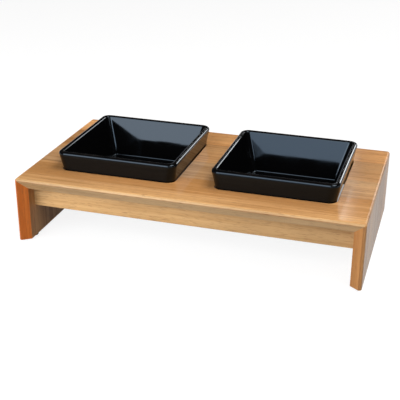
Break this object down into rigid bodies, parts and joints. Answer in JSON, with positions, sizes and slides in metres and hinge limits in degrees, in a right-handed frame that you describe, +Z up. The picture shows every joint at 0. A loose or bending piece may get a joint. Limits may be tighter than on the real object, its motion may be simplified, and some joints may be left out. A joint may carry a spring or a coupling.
{
  "type": "pet bowl with wooden stand",
  "caption": "Low wooden feeding bench with mitred corners and undercut edges, carrying square black glazed bowls that hang in cut-outs in its top and lift out for washing.",
  "frame": {"origin": "on the ground under the middle of the bench, at the bottom faces of the rubber pads", "axes": "+X along the length of the bench, to the right when seen from the front; +Y to the back; +Z up"},
  "size_m": [0.2802, 0.155, 0.072],
  "materials": {
    "bench_wood": "clear gloss lacquer",
    "rail_wood": "clear satin lacquer",
    "joinery_wood": "bare",
    "black_glaze": "gloss",
    "pad_rubber": "matt"
  },
  "bodies": {
    "bench": {"top_front_stave": "bench_wood", "top_mid_front_stave": "bench_wood", "top_mid_back_stave": "bench_wood", "top_back_stave": "bench_wood", "left_front_stave": "bench_wood", "left_mid_front_stave": "bench_wood", "left_mid_back_stave": "bench_wood", "left_back_stave": "bench_wood", "right_front_stave": "bench_wood", "right_mid_front_stave": "bench_wood", "right_mid_back_stave": "bench_wood", "right_back_stave": "bench_wood", "front_rail": "rail_wood", "back_rail": "rail_wood", "left_mitre_tongue": "joinery_wood", "right_mitre_tongue": "joinery_wood", "front_rail_dowels": "joinery_wood", "back_rail_dowels": "joinery_wood", "front_left_pad": "pad_rubber", "front_right_pad": "pad_rubber", "back_left_pad": "pad_rubber", "back_right_pad": "pad_rubber"},
    "left_bowl": {"left_bowl": "black_glaze"},
    "right_bowl": {"right_bowl": "black_glaze"}
  },
  "joints": [
    {"name": "left_bowl_lift", "type": "slide", "parent": "bench", "child": "left_bowl", "axis": [0, 0, 1], "range_m": [0, 0.06]},
    {"name": "right_bowl_lift", "type": "slide", "parent": "bench", "child": "right_bowl", "axis": [0, 0, 1], "range_m": [0, 0.06]}
  ]
}
